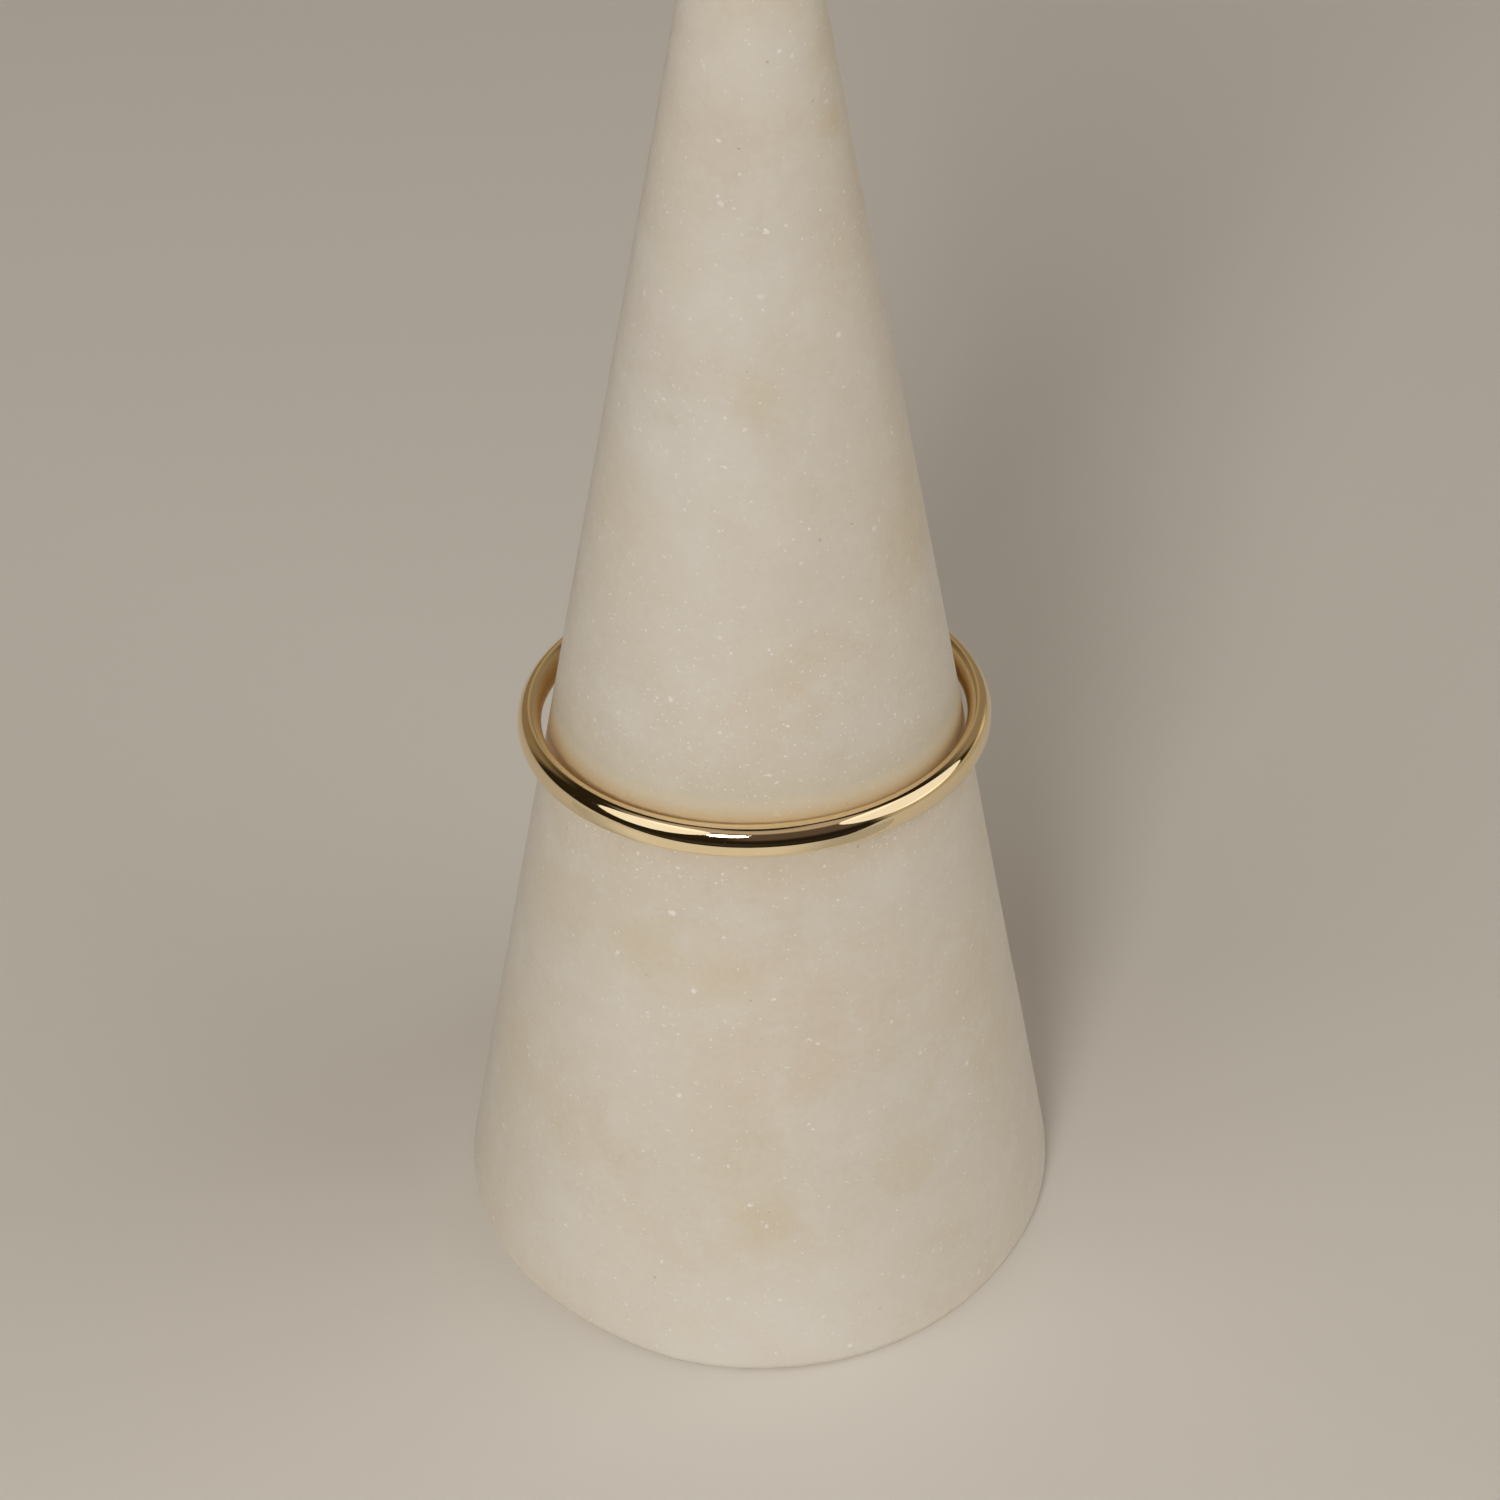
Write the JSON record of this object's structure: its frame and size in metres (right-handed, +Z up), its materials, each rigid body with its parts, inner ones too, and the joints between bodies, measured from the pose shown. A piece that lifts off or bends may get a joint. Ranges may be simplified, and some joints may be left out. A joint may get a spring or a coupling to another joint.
{
  "type": "ring on a ring cone stand",
  "caption": "Slim plain polished yellow-gold ring resting around a tapering marble ring cone that stands on its flat base.",
  "frame": {"origin": "centre of the cone's flat base, on the surface it stands on", "axes": "+Z up along the cone's axis to its tip, -Y the side shown to the viewer, where the ring rides a little higher"},
  "size_m": [0.0258, 0.0258, 0.0699],
  "materials": {
    "gold": "polished yellow gold",
    "marble": "honed cream-white marble with faint ochre clouds and fine crystal sparkle"
  },
  "bodies": {
    "root": {"ring_band": "gold", "ring_cone": "marble"}
  },
  "joints": []
}
